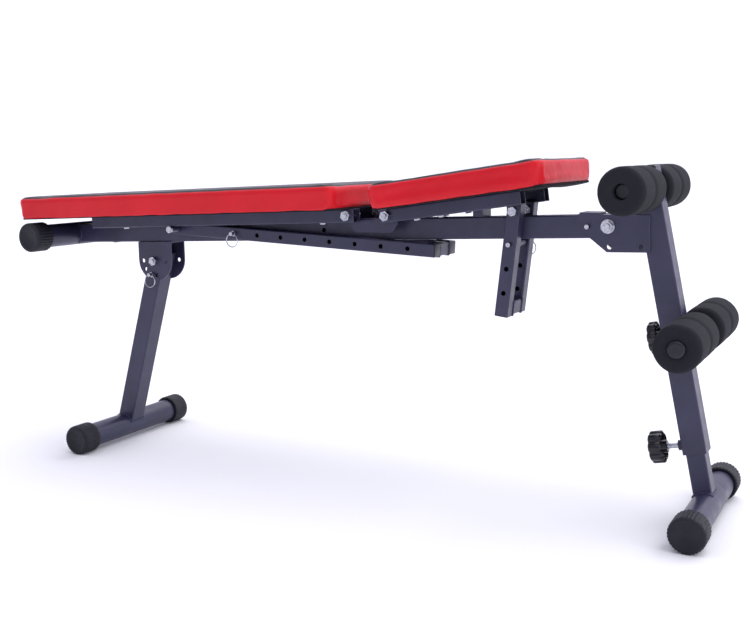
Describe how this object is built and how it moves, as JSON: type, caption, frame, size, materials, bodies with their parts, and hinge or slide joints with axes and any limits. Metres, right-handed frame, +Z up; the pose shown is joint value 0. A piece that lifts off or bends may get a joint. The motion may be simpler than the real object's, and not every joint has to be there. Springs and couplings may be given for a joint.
{
  "type": "adjustable weight bench",
  "caption": "Folding adjustable weight bench with tilting backrest and seat pads, foam ankle rollers, pinned support arms and round tube feet with rubber caps.",
  "frame": {"origin": "on the floor, under the middle of the overall box", "axes": "+X along the bench towards the foam rollers, +Y across it, +Z up"},
  "size_m": [1.4732, 0.3536, 0.6193],
  "materials": {
    "frame_paint": "dark charcoal powder coat, satin",
    "zinc": "bright zinc plate",
    "cap_rubber": "moulded matte black rubber",
    "foam": "dense matte black foam",
    "black_plastic": "smooth black plastic",
    "knob_plastic": "glossy black plastic",
    "red_vinyl": "smooth red vinyl, with a black vinyl top panel",
    "board_cover": "black lining over the pad's board"
  },
  "bodies": {
    "frame": {"main_beam": "frame_paint", "rear_crossbar": "frame_paint", "crossbar_caps": "cap_rubber", "rear_leg_bracket": "frame_paint", "rear_hinge_bolt": "zinc", "hinge_bracket": "frame_paint", "pad_hinge_bolts": "zinc", "seat_rest_post": "frame_paint", "seat_pin_sleeve": "frame_paint", "front_hinge_bolt": "zinc"},
    "rear_leg": {"rear_leg_tube": "frame_paint", "rear_leg_bush": "zinc", "rear_foot_tube": "frame_paint", "rear_foot_caps": "cap_rubber"},
    "front_leg": {"front_upright": "frame_paint", "front_hinge_plates": "frame_paint", "front_stop_plate": "frame_paint", "upright_top_plug": "black_plastic", "height_weld_nut": "frame_paint", "upper_roller_bar": "frame_paint", "lower_roller_bar": "frame_paint", "roller_bar_plugs": "black_plastic"},
    "front_foot": {"front_inner_tube": "frame_paint", "front_foot_tube": "frame_paint", "front_foot_caps": "cap_rubber"},
    "height_knob": {"height_knob": "knob_plastic", "height_knob_screw": "zinc"},
    "roller_knob": {"roller_knob": "knob_plastic", "roller_knob_bolt": "zinc"},
    "upper_near_roller": {"upper_near_roller": "foam"},
    "upper_far_roller": {"upper_far_roller": "foam"},
    "lower_near_roller": {"lower_near_roller": "foam"},
    "lower_far_roller": {"lower_far_roller": "foam"},
    "backrest": {"backrest_pad": "red_vinyl", "backrest_board": "board_cover", "backrest_rails": "frame_paint", "backrest_crossbars": "frame_paint", "backrest_screws": "zinc", "backrest_arm_sleeves": "frame_paint", "backrest_arm_pivots": "zinc"},
    "backrest_arms": {"backrest_arm_tubes": "frame_paint", "backrest_arm_crossbar": "frame_paint"},
    "seat": {"seat_pad": "red_vinyl", "seat_board": "board_cover", "seat_rails": "frame_paint", "seat_crossbars": "frame_paint", "seat_screws": "zinc", "seat_arm_ears": "frame_paint", "seat_arm_pivots": "zinc"},
    "seat_arms": {"seat_arm_tubes": "frame_paint", "seat_arm_crossbar": "frame_paint"},
    "backrest_pin": {"backrest_lock_pin": "zinc"},
    "backrest_ring": {"backrest_pin_ring": "zinc"},
    "seat_pin": {"seat_lock_pin": "zinc"},
    "seat_ring": {"seat_pin_ring": "zinc"},
    "rear_leg_pin": {"rear_leg_lock_pin": "zinc"},
    "rear_leg_ring": {"rear_leg_pin_ring": "zinc"},
    "front_leg_pin": {"front_leg_lock_pin": "zinc"},
    "front_leg_ring": {"front_leg_pin_ring": "zinc"}
  },
  "joints": [
    {"name": "backrest_tilt", "type": "hinge", "parent": "frame", "child": "backrest", "pos_m": [0.0521, 0, 0.51587], "axis": [0, 1, 0], "range_deg": [0, 78.84]},
    {"name": "backrest_arm_swing", "type": "hinge", "parent": "backrest", "child": "backrest_arms", "pos_m": [-0.3679, 0, 0.4813], "axis": [0, 1, 0], "range_deg": [0, 28.64]},
    {"name": "seat_tilt", "type": "hinge", "parent": "frame", "child": "seat", "pos_m": [0.1346, 0, 0.51697], "axis": [0, -1, 0], "range_deg": [0, 21.81]},
    {"name": "seat_arm_swing", "type": "hinge", "parent": "seat", "child": "seat_arms", "pos_m": [0.3701, 0, 0.527], "axis": [0, 1, 0], "range_deg": [0, 9.66]},
    {"name": "rear_leg_fold", "type": "hinge", "parent": "frame", "child": "rear_leg", "pos_m": [-0.4579, 0, 0.408], "axis": [0, 1, 0], "range_deg": [-106.91, 72.99]},
    {"name": "front_leg_fold", "type": "hinge", "parent": "frame", "child": "front_leg", "pos_m": [0.5311, 0, 0.5023], "axis": [0, 1, 0], "range_deg": [0, 64]},
    {"name": "front_height", "type": "slide", "parent": "front_leg", "child": "front_foot", "axis": [0.2038, 0, -0.979], "range_m": [-0.06, 0.06]},
    {"name": "height_knob_turn", "type": "hinge", "parent": "front_leg", "child": "height_knob", "pos_m": [0.68384, 0, 0.1353], "axis": [-0.979, 0, -0.2038], "continuous": true},
    {"name": "roller_knob_turn", "type": "hinge", "parent": "front_leg", "child": "roller_knob", "pos_m": [0.64543, 0, 0.31978], "axis": [-0.979, 0, -0.2038], "continuous": true},
    {"name": "upper_near_roller_spin", "type": "hinge", "parent": "front_leg", "child": "upper_near_roller", "pos_m": [0.59013, 0, 0.5662], "axis": [0, 1, 0], "continuous": true},
    {"name": "upper_far_roller_spin", "type": "hinge", "parent": "front_leg", "child": "upper_far_roller", "pos_m": [0.59013, 0, 0.5662], "axis": [0, 1, 0], "continuous": true},
    {"name": "lower_near_roller_spin", "type": "hinge", "parent": "front_leg", "child": "lower_near_roller", "pos_m": [0.68205, 0, 0.3274], "axis": [0, 1, 0], "continuous": true},
    {"name": "lower_far_roller_spin", "type": "hinge", "parent": "front_leg", "child": "lower_far_roller", "pos_m": [0.68205, 0, 0.3274], "axis": [0, 1, 0], "continuous": true},
    {"name": "backrest_pin_pull", "type": "slide", "parent": "frame", "child": "backrest_pin", "axis": [0, -1, 0], "range_m": [0, 0.11]},
    {"name": "seat_pin_pull", "type": "slide", "parent": "seat_arms", "child": "seat_pin", "axis": [0, 1, 0], "range_m": [0, 0.06]},
    {"name": "rear_leg_pin_pull", "type": "slide", "parent": "frame", "child": "rear_leg_pin", "axis": [0, -1, 0], "range_m": [0, 0.06]},
    {"name": "front_leg_pin_pull", "type": "slide", "parent": "front_leg", "child": "front_leg_pin", "axis": [0, 1, 0], "range_m": [0, 0.06]},
    {"name": "backrest_ring_swing", "type": "hinge", "parent": "backrest_pin", "child": "backrest_ring", "pos_m": [-0.2279, -0.0547, 0.4745], "axis": [-1, 0, 0], "range_deg": [0, 120]},
    {"name": "seat_ring_swing", "type": "hinge", "parent": "seat_pin", "child": "seat_ring", "pos_m": [0.3631, 0.0547, 0.4685], "axis": [1, 0, 0], "range_deg": [0, 120]},
    {"name": "rear_leg_ring_swing", "type": "hinge", "parent": "rear_leg_pin", "child": "rear_leg_ring", "pos_m": [-0.46694, -0.031, 0.37835], "axis": [-1, 0, 0], "range_deg": [0, 120]},
    {"name": "front_leg_ring_swing", "type": "hinge", "parent": "front_leg_pin", "child": "front_leg_ring", "pos_m": [0.4961, 0.031, 0.50117], "axis": [1, 0, 0], "range_deg": [0, 120]}
  ],
  "couplings": [
    {"joint": "backrest_arm_swing", "follows": "backrest_tilt", "ratio": 0.36311},
    {"joint": "seat_arm_swing", "follows": "seat_tilt", "ratio": 0.44225}
  ]
}
